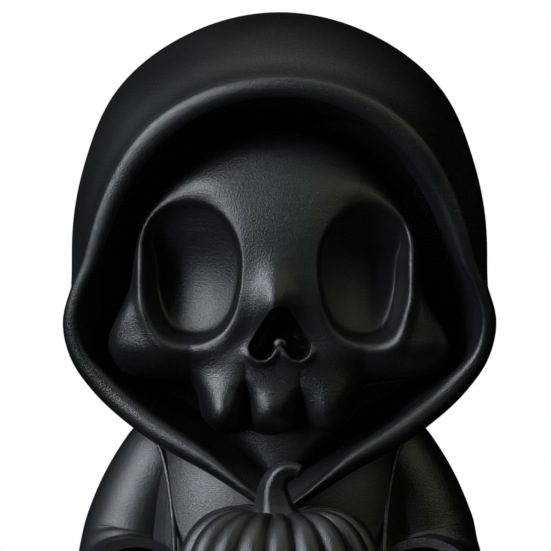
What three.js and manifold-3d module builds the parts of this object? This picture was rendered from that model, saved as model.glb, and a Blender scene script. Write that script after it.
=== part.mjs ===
// A small grim reaper figure with a big head, cast in one piece with its low base: a wide hood
// round a skull, a robe with loose sleeves, and two bony hands that hold a ribbed pumpkin.
// Millimetres, +Z up, the face looks along -Y and the origin is the middle of the underside.

import * as THREE from 'three';
import { mergeVertices } from 'three/addons/utils/BufferGeometryUtils.js';
import { ParametricGeometry } from 'three/addons/geometries/ParametricGeometry.js';
import Module from 'manifold-3d';

const wasm = await Module();
wasm.setup();

const degree = Math.PI / 180;

// Driving dimensions. Angles of the hood run from straight up, 0, to straight down, 180, as seen
// from the front, alike on both sides. Each list holds pairs of an angle, or a height, and a value.

const hood = {
  centre: 97.2,
  back: 38,
  roundness: 2.2,
  floor: -4,
  // half-width of the dome, and how far back it is widest
  dome: [[0, 42.8], [25, 42.1], [45, 41], [65, 38.4], [85, 37.3], [105, 37.3], [120, 37.8],
    [150, 36.4], [180, 34.8]],
  domeDepth: [[0, -4], [60, -1], [110, 2], [180, 4]],
  // middle of the rolled lip, its front, its half-width and its half-depth
  lip: [[0, 30.8], [40, 31.2], [70, 31.4], [90, 33.3], [99, 36], [107, 38.4], [116, 39.4],
    [126, 38.3], [140, 37.1], [158, 37.2], [168, 39.3], [180, 44]],
  lipFront: [[0, -31], [45, -29.5], [90, -25], [115, -22], [140, -23.5], [160, -25], [180, -26.5]],
  lipWide: [[0, 1.6], [90, 1.8], [116, 2], [126, 2.5], [140, 2.3], [158, 2], [180, 1.3]],
  lipDeep: [[0, 1.8], [90, 2.2], [126, 2.8], [180, 2.4]],
  // how far the roll turns outwards and inwards from its front line
  rollOut: [[0, 50], [60, 58], [90, 70], [104, 98], [140, 125], [180, 125]],
  rollIn: [[0, 50], [60, 58], [90, 62], [110, 55], [126, 72], [140, 88], [180, 88]],
  // inner edge of the sloping face, and the wall's foot at the floor of the hollow
  edge: [[0, 25.4], [36, 27.4], [60, 27.3], [90, 29.4], [106, 32.5], [118, 35.8], [126, 35.8],
    [140, 34.9], [158, 35.2], [168, 37.4], [180, 42.7]],
  edgeDepth: [[0, -25], [45, -23], [90, -19], [115, -17], [140, -20], [180, -24]],
  foot: [[0, 26.5], [90, 30.5], [118, 34], [150, 32], [180, 32]],
  edgeStep: 0.15,
  tipSlope: 0.42,
  around: 60,
  rings: { dome: 6, side: 4, roll: 5, face: 1, wall: 1, floor: 1 },
};

const skull = {
  centre: 90,
  back: -2,
  rim: -13,
  front: -24.5,
  fall: 2.6,
  outline: [[0, 29.3], [22, 28.7], [57, 27.9], [78, 26.5], [88, 26.8], [104, 31.2], [110, 31.6],
    [117, 30.2], [124, 26.2], [134, 20], [150, 17], [180, 16]],
  around: 48,
  rings: 6,
};

const socket = { x: 15.5, z: 95.1, halfWidth: 9.1, halfHeight: 12.85, shallow: -20.6, deep: -14 };
const nose = { apex: 89.2, base: 81.4, halfWidth: 5.7, lobe: 2.3, spread: 3, back: -19, open: -35 };
const teeth = [
  { x: -9.8, halfWidth: 5, bottom: 66.3 },
  { x: -0.4, halfWidth: 5.8, bottom: 65.6 },
  { x: 9, halfWidth: 5, bottom: 66.3 },
];
const tooth = { top: 84, front: -25.2, lean: 0.13, bluntness: 0.8 };
const jaw = { x: -0.35, halfWidth: 13.2, bottom: 68.5, top: 87.7, front: -23.6, lean: 0, bluntness: 0.55,
  back: -4.6 };

const neck = { tip: 55.7, slope: 0.96, halfWidth: 12.8, top: 81.6, front: -19.8, back: -1.3 };

const robe = {
  // pairs of a height and a half-width, then the reach to the front and to the back
  halfWidth: [[2, 33.5], [12, 32.3], [26, 29.6], [45, 26.4], [57, 25], [66, 22], [74, 13]],
  front: [[2, 29.5], [12, 28], [26, 25], [45, 21.8], [57, 20.4], [66, 18.4], [74, 11]],
  back: [[2, 30.5], [12, 29.4], [26, 27.4], [45, 25.2], [57, 24.4], [66, 22], [74, 14]],
  bottom: 2,
  top: 76,
  squareness: 2.3,
  folds: 11,
  foldDepth: 1.3,
  foldTop: 46,
};

const base = { radius: 37, squash: 0.95, height: 4, edge: 1.2 };

const sleeve = {
  path: [[17, 1.5, 66.4], [20.1, 1.2, 60.8], [24.2, 0.4, 52.5], [26.5, -2.6, 44.5], [27.2, -9.5, 39.6],
    [26.4, -18, 38.4], [25.2, -28, 38.6]],
  radius: [[0, 6.6], [0.14, 7.9], [0.32, 8.6], [0.5, 9.2], [0.72, 8.8], [1, 9.8]],
  hollow: 8.2,
  hollowDepth: 9,
  around: 16,
  along: 10,
};

const pumpkin = { y: -34, z: 41, halfWidth: 18.2, halfDepth: 16.6, halfHeight: 15.4, roundness: 2.5,
  ribs: 18, ribDepth: 0.09, dimple: 3.4, dimpleWidth: 0.42, sidesPerRib: 4, rings: 8 };

const stem = {
  path: [[-0.4, -34, 51], [-1, -34.2, 55.4], [-0.9, -34.6, 58.6], [0.6, -35, 60.9], [3.4, -35.4, 61]],
  radius: [[0, 5.4], [0.25, 3.3], [0.5, 2.4], [0.8, 1.9], [1, 1.5]],
};

const hand = {
  wrist: [[24.6, -21, 39.2], [23.2, -30, 39.1], [20.8, -36, 38.3]],
  wristRadius: 3.6,
  palm: { x: 19.5, y: -37.1, z: 38, halfWidth: 3, halfDepth: 4.6, halfHeight: 6.2, turn: 20 },
  fingerRows: [40.9, 37.5, 34.1, 30.8],
  fingerRadius: 1.75,
  fingerReach: 50,
  fingerDroop: 0.4,
  standOff: 0.7,
  thumb: [[19.6, -34.6, 41.2], [18.6, -39.6, 44.2], [14.9, -44.9, 44.9]],
};

// A smooth curve through pairs of x and value, level at the first and rising by endSlope at the last.

function through(pairs, endSlope = 0) {
  const last = pairs.length - 1;
  const slopes = pairs.map((pair, i) => {
    if (i === 0) return 0;
    if (i === last) return endSlope;
    const [xBefore, before] = pairs[i - 1];
    const [xAfter, after] = pairs[i + 1];
    return (after - before) / (xAfter - xBefore);
  });
  return (x) => {
    const at = THREE.MathUtils.clamp(x, pairs[0][0], pairs[last][0]);
    let i = 0;
    while (i < last - 1 && at > pairs[i + 1][0]) i += 1;
    const [x0, v0] = pairs[i];
    const [x1, v1] = pairs[i + 1];
    const width = x1 - x0;
    const s = (at - x0) / width;
    const rise = s * s * (3 - 2 * s);
    const leave = s * (1 - s) * (1 - s) * width;
    const arrive = s * s * (s - 1) * width;
    return v0 + (v1 - v0) * rise + slopes[i] * leave + slopes[i + 1] * arrive;
  };
}

// A point between two, leaving the first and reaching the second along the given directions.

function bend(from, leave, to, arrive, s) {
  const reach = Math.hypot(to[0] - from[0], to[1] - from[1]);
  const h = s * s * (3 - 2 * s);
  const a = s * (1 - s) * (1 - s) * reach;
  const b = s * s * (s - 1) * reach;
  return [0, 1].map((k) => from[k] + (to[k] - from[k]) * h + leave[k] * a + arrive[k] * b);
}

// Turns a closed geometry into a solid: shared corners are merged, empty triangles dropped and
// the faces turned outwards.

function solid(geometry) {
  geometry.deleteAttribute('normal');
  geometry.deleteAttribute('uv');
  const merged = mergeVertices(geometry, 1e-4);
  const places = merged.attributes.position;
  const [a, b, c] = [new THREE.Vector3(), new THREE.Vector3(), new THREE.Vector3()];
  const faces = [];
  let volume = 0;
  for (let i = 0; i < merged.index.count; i += 3) {
    const face = [0, 1, 2].map((k) => merged.index.getX(i + k));
    if (new Set(face).size === 3) {
      faces.push(face);
      [a, b, c].forEach((corner, k) => corner.fromBufferAttribute(places, face[k]));
      volume += a.dot(b.cross(c));
    }
  }
  if (volume < 0) faces.forEach((face) => face.reverse());
  const mesh = new wasm.Mesh({
    numProp: 3,
    vertProperties: new Float32Array(places.array),
    triVerts: new Uint32Array(faces.flat()),
  });
  return new wasm.Manifold(mesh);
}

// A closed surface from a function of two numbers: the first runs round, the second from pole to pole.

function surface(point, around, along) {
  const geometry = new ParametricGeometry((u, v, target) => {
    const [x, y, z] = point(u === 1 ? 0 : u, v);
    target.set(x, y, z);
  }, around, along);
  return solid(geometry);
}

const power = (value, exponent) => Math.sign(value) * Math.abs(value) ** exponent;

// The hood: a section runs from the back of the dome over its side and the rolled lip, down the
// sloping face and the wall of the hollow to its floor, and sweeps round the line of sight.

const hoodAt = {
  dome: through(hood.dome),
  domeDepth: through(hood.domeDepth),
  lip: through(hood.lip, hood.tipSlope),
  lipFront: through(hood.lipFront),
  lipWide: through(hood.lipWide),
  lipDeep: through(hood.lipDeep),
  rollOut: through(hood.rollOut),
  rollIn: through(hood.rollIn),
  edge: through(hood.edge, hood.tipSlope),
  edgeDepth: through(hood.edgeDepth),
  foot: through(hood.foot),
};

function rollPoint(angle, turn) {
  const middle = hoodAt.lipFront(angle) + hoodAt.lipDeep(angle);
  return [
    hoodAt.lip(angle) + hoodAt.lipWide(angle) * Math.sin(turn),
    middle - hoodAt.lipDeep(angle) * Math.cos(turn),
  ];
}

function hoodSection(angle, ring) {
  const { rings } = hood;
  const out = hoodAt.rollOut(angle) * degree;
  const inward = hoodAt.rollIn(angle) * degree;
  const widest = [hoodAt.dome(angle), hoodAt.domeDepth(angle)];
  const rollEnd = rollPoint(angle, -inward);
  const edge = [Math.min(hoodAt.edge(angle), rollEnd[0] - hood.edgeStep), hoodAt.edgeDepth(angle)];
  const foot = [hoodAt.foot(angle), hood.floor];
  let left = ring;
  if (left <= rings.dome) {
    const turn = (left / rings.dome) * 90 * degree;
    const bulge = 2 / hood.roundness;
    return [
      widest[0] * power(Math.sin(turn), bulge),
      widest[1] + (hood.back - widest[1]) * power(Math.cos(turn), bulge),
    ];
  }
  left -= rings.dome;
  if (left <= rings.side) {
    return bend(widest, [0, -1], rollPoint(angle, out), [-Math.cos(out), -Math.sin(out)], left / rings.side);
  }
  left -= rings.side;
  if (left <= rings.roll) return rollPoint(angle, out - (out + inward) * (left / rings.roll));
  left -= rings.roll;
  if (left <= rings.face) {
    const s = left / rings.face;
    return [0, 1].map((k) => rollEnd[k] + (edge[k] - rollEnd[k]) * s);
  }
  left -= rings.face;
  if (left <= rings.wall) {
    const s = left / rings.wall;
    return [0, 1].map((k) => edge[k] + (foot[k] - edge[k]) * s);
  }
  left -= rings.wall;
  return [foot[0] * (1 - left / rings.floor), hood.floor];
}

function sweepRound(section, centre, around, count) {
  return surface((u, v) => {
    const turn = u * 360;
    const angle = turn > 180 ? 360 - turn : turn;
    const [r, y] = section(angle, v * count);
    return [r * Math.sin(turn * degree), y, centre + r * Math.cos(turn * degree)];
  }, around, count);
}

function makeHood() {
  const { rings } = hood;
  const count = rings.dome + rings.side + rings.roll + rings.face + rings.wall + rings.floor;
  return sweepRound(hoodSection, hood.centre, hood.around, count);
}

// The space inside the hood, a little larger than the hollow, which the robe must leave free.

function makeHollow() {
  const margin = 1.1;
  const footMargin = 2.2;
  const open = -40;
  const section = (angle, ring) => {
    const stations = [
      [0, hood.floor],
      [hoodAt.foot(angle) + footMargin, hood.floor],
      [hoodAt.edge(angle) + margin, hoodAt.edgeDepth(angle)],
      [hoodAt.edge(angle) + margin, open],
      [0, open],
    ];
    return stations[Math.round(ring)];
  };
  return sweepRound(section, hood.centre, hood.around, 4);
}

// The skull: a pillow with its own outline, falling off from the middle of the face to its rim.

function makeCranium() {
  const outline = through(skull.outline);
  const { rings, front, rim, back, fall } = skull;
  const section = (angle, ring) => {
    const reach = outline(angle);
    if (ring > rings) return ring > rings + 1 ? [0, back] : [reach, back];
    const s = Math.sin((ring / rings) * 90 * degree);
    const drop = 1 - (1 - s ** fall) ** (1 / fall);
    return [reach * s, front + (rim - front) * drop];
  };
  return sweepRound(section, skull.centre, skull.around, rings + 2);
}

// An eye socket: an egg outline, straighter on the outer side, and a floor that falls away outwards.

function makeSocket(side) {
  const rings = 5;
  const open = -32;
  return surface((u, v) => {
    const turn = u * 360 * degree;
    const outward = Math.cos(turn);
    const bulge = outward > 0 ? 2 / 2.6 : 1;
    const x = power(outward, bulge) * socket.halfWidth;
    const z = power(Math.sin(turn), bulge) * socket.halfHeight;
    const ring = Math.round(v * rings);
    const spread = Math.min(1, (rings - ring) / (rings - 2));
    const reach = ring === 0 ? 0 : spread;
    const tilt = (1 + (x * reach) / socket.halfWidth) / 2;
    const floor = socket.shallow + (socket.deep - socket.shallow) * tilt * (1 - reach ** 3);
    return [side * (socket.x + x * reach), ring < 2 ? open : floor, socket.z + z * reach];
  }, 20, rings);
}

// The nose opening: an upside-down heart, cut straight in.

function makeNose() {
  const outline = new THREE.Shape();
  const { apex, base: foot, halfWidth, lobe, spread } = nose;
  outline.moveTo(0, apex);
  outline.quadraticCurveTo(-1.6, apex - 0.2, -halfWidth + 0.9, foot + 1.8);
  outline.absarc(-spread, foot, lobe, Math.PI * 0.95, Math.PI * 2 - 0.3, false);
  outline.lineTo(0, foot + 0.9);
  outline.absarc(spread, foot, lobe, Math.PI + 0.3, Math.PI * 2.05, false);
  outline.quadraticCurveTo(1.6, apex - 0.2, 0, apex);
  const depth = nose.back - nose.open;
  const geometry = new THREE.ExtrudeGeometry(outline, { depth, bevelEnabled: false, curveSegments: 5 });
  geometry.rotateX(Math.PI / 2);
  geometry.translate(0, nose.back, 0);
  return solid(geometry);
}

// The upper jaw and its teeth: upright rounded columns that fade into the face above.

function makeColumn({ x, halfWidth, bottom, top, front, lean, bluntness }, around, rings) {
  const halfDepth = (jaw.back - front) / 2;
  return surface((u, v) => {
    const turn = u * 360 * degree;
    const rise = v * 180 * degree;
    const girth = power(Math.sin(rise), 0.5);
    const z = (top + bottom) / 2 + ((top - bottom) / 2) * power(Math.cos(rise), 0.8);
    return [
      x + halfWidth * girth * power(Math.cos(turn), bluntness),
      front + halfDepth + halfDepth * girth * power(Math.sin(turn), bluntness) + lean * (z - bottom),
      z,
    ];
  }, around, rings);
}

function makeSkull() {
  let form = makeCranium();
  form = form.add(makeColumn(jaw, 16, 6));
  teeth.forEach((place) => { form = form.add(makeColumn({ ...tooth, ...place }, 12, 7)); });
  [-1, 1].forEach((side) => { form = form.subtract(makeSocket(side)); });
  return form.subtract(makeNose());
}

// The neck and chest inside the hood's V, a keel that stands clear of the lip on both sides.

function makeNeck() {
  const height = neck.top - neck.tip;
  const halfDepth = (neck.back - neck.front) / 2;
  return surface((u, v) => {
    const turn = u * 360 * degree;
    const z = neck.tip + height * v;
    const wide = v === 1 ? 0 : Math.min(neck.halfWidth, (z - neck.tip) / neck.slope);
    const y = (neck.front + neck.back) / 2 + halfDepth * power(Math.sin(turn), 0.7) * (v === 1 ? 0 : 1);
    return [wide * power(Math.cos(turn), 0.7), v === 0 ? neck.front : y, z];
  }, 16, 7);
}

// The robe: rounded oval sections stacked from the hem to the shoulders, with folds that grow downwards.

function makeRobe() {
  const halfWidth = through(robe.halfWidth);
  const front = through(robe.front);
  const back = through(robe.back);
  const rings = 10;
  return surface((u, v) => {
    const turn = u * 360 * degree;
    const ring = Math.round(v * rings);
    const z = robe.bottom + (robe.top - robe.bottom) * THREE.MathUtils.clamp((ring - 1) / (rings - 2), 0, 1);
    if (ring === 0 || ring === rings) return [0, 0, z];
    const loose = Math.max(0, 1 - z / robe.foldTop) ** 1.4;
    const swell = robe.foldDepth * loose * Math.cos(robe.folds * turn);
    const across = power(Math.cos(turn), 2 / robe.squareness);
    const along = power(Math.sin(turn), 2 / robe.squareness);
    const depth = along < 0 ? front(z) : back(z);
    return [across * (halfWidth(z) + swell), along * (depth + swell), z];
  }, robe.folds * 4, rings);
}

function makeBase() {
  const { radius, height, edge } = base;
  const profile = [new THREE.Vector2(0, 0), new THREE.Vector2(radius - 0.5, 0), new THREE.Vector2(radius, 0.5)];
  for (let i = 0; i <= 2; i += 1) {
    const turn = (i / 2) * 90 * degree;
    profile.push(new THREE.Vector2(radius - edge + edge * Math.cos(turn), height - edge + edge * Math.sin(turn)));
  }
  profile.push(new THREE.Vector2(0, height));
  const geometry = new THREE.LatheGeometry(profile, 40);
  geometry.rotateX(Math.PI / 2);
  geometry.scale(1, base.squash, 1);
  return solid(geometry);
}

// A closed tube along a smooth path whose radius changes, with rounded or flat ends.

function tube(points, radiusAt, around, along, side = 1, flatEnd = false) {
  const path = new THREE.CatmullRomCurve3(points.map(([x, y, z]) => new THREE.Vector3(side * x, y, z)));
  const frames = path.computeFrenetFrames(along, false);
  return surface((u, v) => {
    const turn = u * 360 * degree;
    const i = Math.round(v * (along + 2)) - 1;
    const at = THREE.MathUtils.clamp(i, 0, along);
    const middle = path.getPointAt(at / along);
    const radius = i < 0 || i > along ? 0 : radiusAt(at / along);
    const cap = i < 0 || (i > along && !flatEnd) ? radiusAt(at / along) * 0.45 : 0;
    middle.addScaledVector(frames.tangents[at], i < 0 ? -cap : cap);
    middle.addScaledVector(frames.normals[at], radius * Math.cos(turn));
    middle.addScaledVector(frames.binormals[at], radius * Math.sin(turn));
    return middle.toArray();
  }, around, along + 2);
}

function makeSleeve(side) {
  const outer = tube(sleeve.path, through(sleeve.radius), sleeve.around, sleeve.along, side, true);
  const end = new THREE.Vector3(...sleeve.path.at(-1));
  const before = new THREE.Vector3(...sleeve.path.at(-2));
  const direction = end.clone().sub(before).normalize();
  const stations = [-sleeve.hollowDepth, -sleeve.hollowDepth / 2, 3].map((step) => (
    end.clone().addScaledVector(direction, step).toArray()
  ));
  const opening = tube(stations, () => sleeve.hollow, 14, 2, side);
  return outer.subtract(opening);
}

// The pumpkin: a squat round form with ribs that meet in a dimple under the stem.

function makePumpkin() {
  const { y, z, halfWidth, halfDepth, halfHeight, roundness, ribs, ribDepth, dimple, dimpleWidth } = pumpkin;
  return surface((u, v) => {
    const turn = u * 360 * degree;
    const rise = v * 180 * degree;
    const girth = power(Math.sin(rise), 2 / roundness);
    const groove = Math.abs(Math.sin((ribs * turn) / 2));
    const swell = 1 - ribDepth * (1 - groove) ** 1.5;
    const sunk = dimple * Math.exp(-((girth / dimpleWidth) ** 2));
    return [
      halfWidth * girth * swell * Math.cos(turn),
      y + halfDepth * girth * swell * Math.sin(turn),
      z + halfHeight * power(Math.cos(rise), 2 / roundness) - Math.sign(Math.cos(rise)) * sunk,
    ];
  }, ribs * pumpkin.sidesPerRib, pumpkin.rings);
}

function makeStem() {
  return tube(stem.path, through(stem.radius), 10, 7);
}

// A bony hand that comes out of the cuff: wrist, palm, four curled fingers and a thumb.

function makeHand(side) {
  const { palm } = hand;
  const knob = new THREE.SphereGeometry(1, 10, 6);
  knob.scale(palm.halfWidth, palm.halfDepth, palm.halfHeight);
  knob.rotateZ(-side * palm.turn * degree);
  knob.translate(side * palm.x, palm.y, palm.z);
  let form = tube(hand.wrist, () => hand.wristRadius, 8, 2, side).add(solid(knob));
  hand.fingerRows.forEach((z) => {
    const lift = (z - pumpkin.z) / pumpkin.halfHeight;
    const shrink = (1 - Math.abs(lift) ** pumpkin.roundness) ** (1 / pumpkin.roundness);
    const curl = [0, 0.5, 1].map((share) => [
      (pumpkin.halfWidth * shrink + hand.standOff) * Math.cos(share * hand.fingerReach * degree),
      pumpkin.y - (pumpkin.halfDepth * shrink + hand.standOff) * Math.sin(share * hand.fingerReach * degree),
      z - share * hand.fingerDroop,
    ]);
    form = form.add(tube(curl, () => hand.fingerRadius, 6, 4, side));
  });
  return form.add(tube(hand.thumb, () => hand.fingerRadius, 6, 3, side));
}

function makeFigure() {
  let form = makeRobe().add(makeBase());
  [-1, 1].forEach((side) => { form = form.add(makeSleeve(side)); });
  form = form.subtract(makeHollow());
  form = form.add(makeHood()).add(makeNeck()).add(makeSkull());
  form = form.add(makePumpkin()).add(makeStem());
  [-1, 1].forEach((side) => { form = form.add(makeHand(side)); });
  return form;
}

function toMesh(form, name, material) {
  const { vertProperties, triVerts } = form.getMesh();
  const geometry = new THREE.BufferGeometry();
  geometry.setAttribute('position', new THREE.BufferAttribute(vertProperties, 3));
  geometry.setIndex(new THREE.BufferAttribute(triVerts, 1));
  geometry.computeVertexNormals();
  const mesh = new THREE.Mesh(geometry, material);
  mesh.name = name;
  return mesh;
}

const blackPlastic = new THREE.MeshStandardMaterial({ color: 0x1a1a1c, roughness: 0.5, metalness: 0 });

const reaper = new THREE.Group();
reaper.add(toMesh(makeFigure(), 'reaper_figurine', blackPlastic));

export default reaper;
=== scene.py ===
import math

import bpy
import numpy as np
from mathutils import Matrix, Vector


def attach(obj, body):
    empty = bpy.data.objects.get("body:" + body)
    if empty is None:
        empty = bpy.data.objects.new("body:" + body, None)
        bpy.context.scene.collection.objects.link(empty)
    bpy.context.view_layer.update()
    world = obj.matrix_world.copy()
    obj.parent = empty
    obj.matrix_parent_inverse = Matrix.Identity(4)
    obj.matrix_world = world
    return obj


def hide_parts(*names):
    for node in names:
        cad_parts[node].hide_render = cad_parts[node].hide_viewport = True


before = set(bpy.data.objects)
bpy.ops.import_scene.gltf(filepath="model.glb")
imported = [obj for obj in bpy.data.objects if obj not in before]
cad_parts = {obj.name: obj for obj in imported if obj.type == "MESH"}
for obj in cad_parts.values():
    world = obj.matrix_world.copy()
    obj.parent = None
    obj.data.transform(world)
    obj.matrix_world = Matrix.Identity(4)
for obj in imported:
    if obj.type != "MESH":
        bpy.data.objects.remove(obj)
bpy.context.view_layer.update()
scene = bpy.context.scene

# The figure is worked out in millimetres, as the solids are, and put into Blender in metres.
mm = 0.001
degree = math.pi / 180

# camera

view = dict(centre=(-0.72, 0.0, 92.57), elevation=4.0, distance=900.0, lens=326.68, sensor=36.0,
            nearest=10.0, farthest=20000.0)


def lookingAt(name, data, centre, right, up, distance):
    # a camera or lamp that stands so many degrees to the right of the front and up, turned to a centre
    flat = math.cos(up * degree)
    away = Vector((math.sin(right * degree) * flat, -math.cos(right * degree) * flat, math.sin(up * degree)))
    holder = bpy.data.objects.new(name, data)
    holder.location = (Vector(centre) + away * distance) * mm
    holder.rotation_mode = "QUATERNION"
    holder.rotation_quaternion = (-away).to_track_quat("-Z", "Y")
    scene.collection.objects.link(holder)
    return holder


def makeCamera():
    data = bpy.data.cameras.new("camera")
    data.lens = view["lens"]
    data.sensor_width = view["sensor"]
    data.clip_start = view["nearest"] * mm
    data.clip_end = view["farthest"] * mm
    scene.camera = lookingAt("camera", data, view["centre"], 0, view["elevation"], view["distance"])


makeCamera()
print("camera set")

# curves and grids


def hermite(start, end, leave, arrive, s, width):
    # start + (end - start)(3s^2 - 2s^3) + width (leave s(1 - s)^2 + arrive s^2(s - 1))
    rise = s * s * (3 - 2 * s)
    early = s * (1 - s) ** 2 * width
    late = s * s * (s - 1) * width
    return start + (end - start) * rise + leave * early + arrive * late


def through(pairs, endSlope=0.0):
    # smooth line through pairs (x, value), level at the first pair
    x = np.array([pair[0] for pair in pairs], float)
    value = np.array([pair[1] for pair in pairs], float)
    slope = np.zeros(len(x))
    slope[1:-1] = (value[2:] - value[:-2]) / (x[2:] - x[:-2])
    slope[-1] = endSlope

    def at(place):
        place = np.clip(np.asarray(place, float), x[0], x[-1])
        i = np.clip(np.searchsorted(x, place) - 1, 0, len(x) - 2)
        width = x[i + 1] - x[i]
        s = (place - x[i]) / width
        return hermite(value[i], value[i + 1], slope[i], slope[i + 1], s, width)

    return at


def roundThrough(pairs):
    # the same for a closed ring of pairs (degrees, value) that starts at 0
    ring = [(a - 360, v) for a, v in pairs[-2:]] + list(pairs) + [(a + 360, v) for a, v in pairs[:3]]
    line = through(ring)
    return lambda angle: line(np.mod(angle, 360))


def power(value, exponent):
    return np.sign(value) * np.abs(value) ** exponent


def step(low, high, value):
    # 0 below low, 1 above high, 3s^2 - 2s^3 between
    s = np.clip((value - low) / (high - low), 0, 1)
    return s * s * (3 - 2 * s)


def lump(value, middle, width):
    # exp(-((value - middle) / width)^2)
    return np.exp(-(((value - middle) / width) ** 2))


def softMin(a, b, reach):
    # the smaller of two, rounded off where they are within reach of each other
    return 0.5 * (a + b - np.sqrt((a - b) ** 2 + reach * reach))


def softOver(value, reach):
    # the value where it is above 0, else 0, with a rounded corner: (v + sqrt(v^2 + reach^2)) / 2
    return 0.5 * (value + np.sqrt(value * value + reach * reach))


def fullTurn(count):
    # the angles of so many places round a circle
    return np.arange(count) * 2 * math.pi / count


def putMesh(name, verts, faces):
    # a closed mesh whose faces point outwards: the signed volume decides the side
    verts = np.asarray(verts, float) * mm
    triangles = np.array([(f[0], f[i], f[i + 1]) for f in faces for i in range(1, len(f) - 1)])
    a, b, c = (verts[triangles[:, k]] for k in range(3))
    if np.einsum("ij,ij->i", a, np.cross(b, c)).sum() < 0:
        faces = [face[::-1] for face in faces]
    data = bpy.data.meshes.new(name)
    data.from_pydata(verts.tolist(), [], faces)
    data.update()
    piece = bpy.data.objects.new(name, data)
    scene.collection.objects.link(piece)
    return piece


def skin(name, rows):
    # rows of points, each a closed ring: four-sided faces between rows, a fan at each pole
    count, around = rows.shape[:2]
    verts = np.concatenate([rows[0, :1], rows[1:-1].reshape(-1, 3), rows[-1, :1]])
    here = np.arange(around)
    after = (here + 1) % around
    first = 1 + np.arange(count - 3)[:, None] * around
    quads = np.stack([first + here, first + after, first + around + after, first + around + here], -1)
    startFan = np.stack([np.zeros(around, int), 1 + after, 1 + here], -1)
    last = 1 + (count - 3) * around
    endFan = np.stack([np.full(around, len(verts) - 1), last + here, last + after], -1)
    return putMesh(name, verts, quads.reshape(-1, 4).tolist() + startFan.tolist() + endFan.tolist())


def withPoles(rows, start, end):
    # the rows with one place before and one after them, where a skin's fans meet
    first, last = (np.zeros_like(rows[:1]) + pole for pole in (start, end))
    return np.concatenate([first, rows, last])


def combine(base, other, operation):
    # joins a closed mesh with another, or cuts it by the other, and drops the other
    modifier = base.modifiers.new(operation.lower(), "BOOLEAN")
    modifier.operation = operation
    modifier.solver = "MANIFOLD"
    modifier.object = other
    made = bpy.data.meshes.new_from_object(base.evaluated_get(bpy.context.evaluated_depsgraph_get()))
    base.modifiers.clear()
    base.data = made
    bpy.data.objects.remove(other)
    return base


# a tube's steps along its path, the direction its first normal is turned from, and its rounded ends:
# their height as a share of the radius, and the rings on them in degrees
tube = dict(steps=600, turnedFrom=(0.31, 0.2, 1.0), endHeight=0.5, endRings=(80, 60, 38, 18))


def carried(points, radius, around, count, side=1, flatEnd=False, flutes=None):
    # a closed tube: the point at share s of a smooth path plus radius(s) times a turning normal
    knots = np.array(points, float) * (side, 1, 1)
    gaps = np.linalg.norm(np.diff(knots, axis=0), axis=1) ** 0.5
    place = np.concatenate([[0], np.cumsum(gaps)])
    slope = np.gradient(knots, place, axis=0, edge_order=2 if len(knots) > 2 else 1)
    t = np.linspace(0, place[-1], tube["steps"])
    i = np.clip(np.searchsorted(place, t) - 1, 0, len(place) - 2)
    width = (place[i + 1] - place[i])[:, None]
    fine = hermite(knots[i], knots[i + 1], slope[i], slope[i + 1], (t - place[i])[:, None] / width, width)
    length = np.concatenate([[0], np.cumsum(np.linalg.norm(np.diff(fine, axis=0), axis=1))])
    share = np.linspace(0, 1, count)
    middle = np.stack([np.interp(share, length / length[-1], fine[:, k]) for k in range(3)], -1)
    tangent = np.gradient(middle, axis=0)
    tangent /= np.linalg.norm(tangent, axis=1)[:, None]

    normal = np.zeros_like(middle)
    flat = np.cross(tangent[0], tube["turnedFrom"])
    normal[0] = flat / np.linalg.norm(flat)
    for i in range(1, count):  # the normal is carried on without twist
        flat = normal[i - 1] - tangent[i] * (normal[i - 1] @ tangent[i])
        normal[i] = flat / np.linalg.norm(flat)
    across = np.cross(tangent, normal)
    turn = fullTurn(around)
    wide = radius(share)[:, None] * np.ones(around)
    if flutes is not None:
        wide = wide * flutes(share[:, None], turn[None, :])
    rings = middle[:, None] + wide[..., None] * (
        np.cos(turn)[None, :, None] * normal[:, None] + np.sin(turn)[None, :, None] * across[:, None])

    def cap(i, way):
        # the rounded end at ring i, from its pole: rings that grow while they move in
        out = way * tangent[i] * radius(share)[i] * tube["endHeight"]
        rows = [np.broadcast_to(middle[i] + out, (around, 3))]
        for s in tube["endRings"]:
            inwards = (rings[i] - middle[i]) * math.cos(s * degree)
            rows.append(middle[i] + inwards + out * math.sin(s * degree))
        return np.stack(rows)

    end = np.repeat(middle[-1:, None], around, 1) if flatEnd else cap(-1, 1)[::-1]
    return np.concatenate([cap(0, -1), rings, end])


# hood
# Angles run round the line of sight from straight up, 0, to straight down, 180, alike on both sides.

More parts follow.
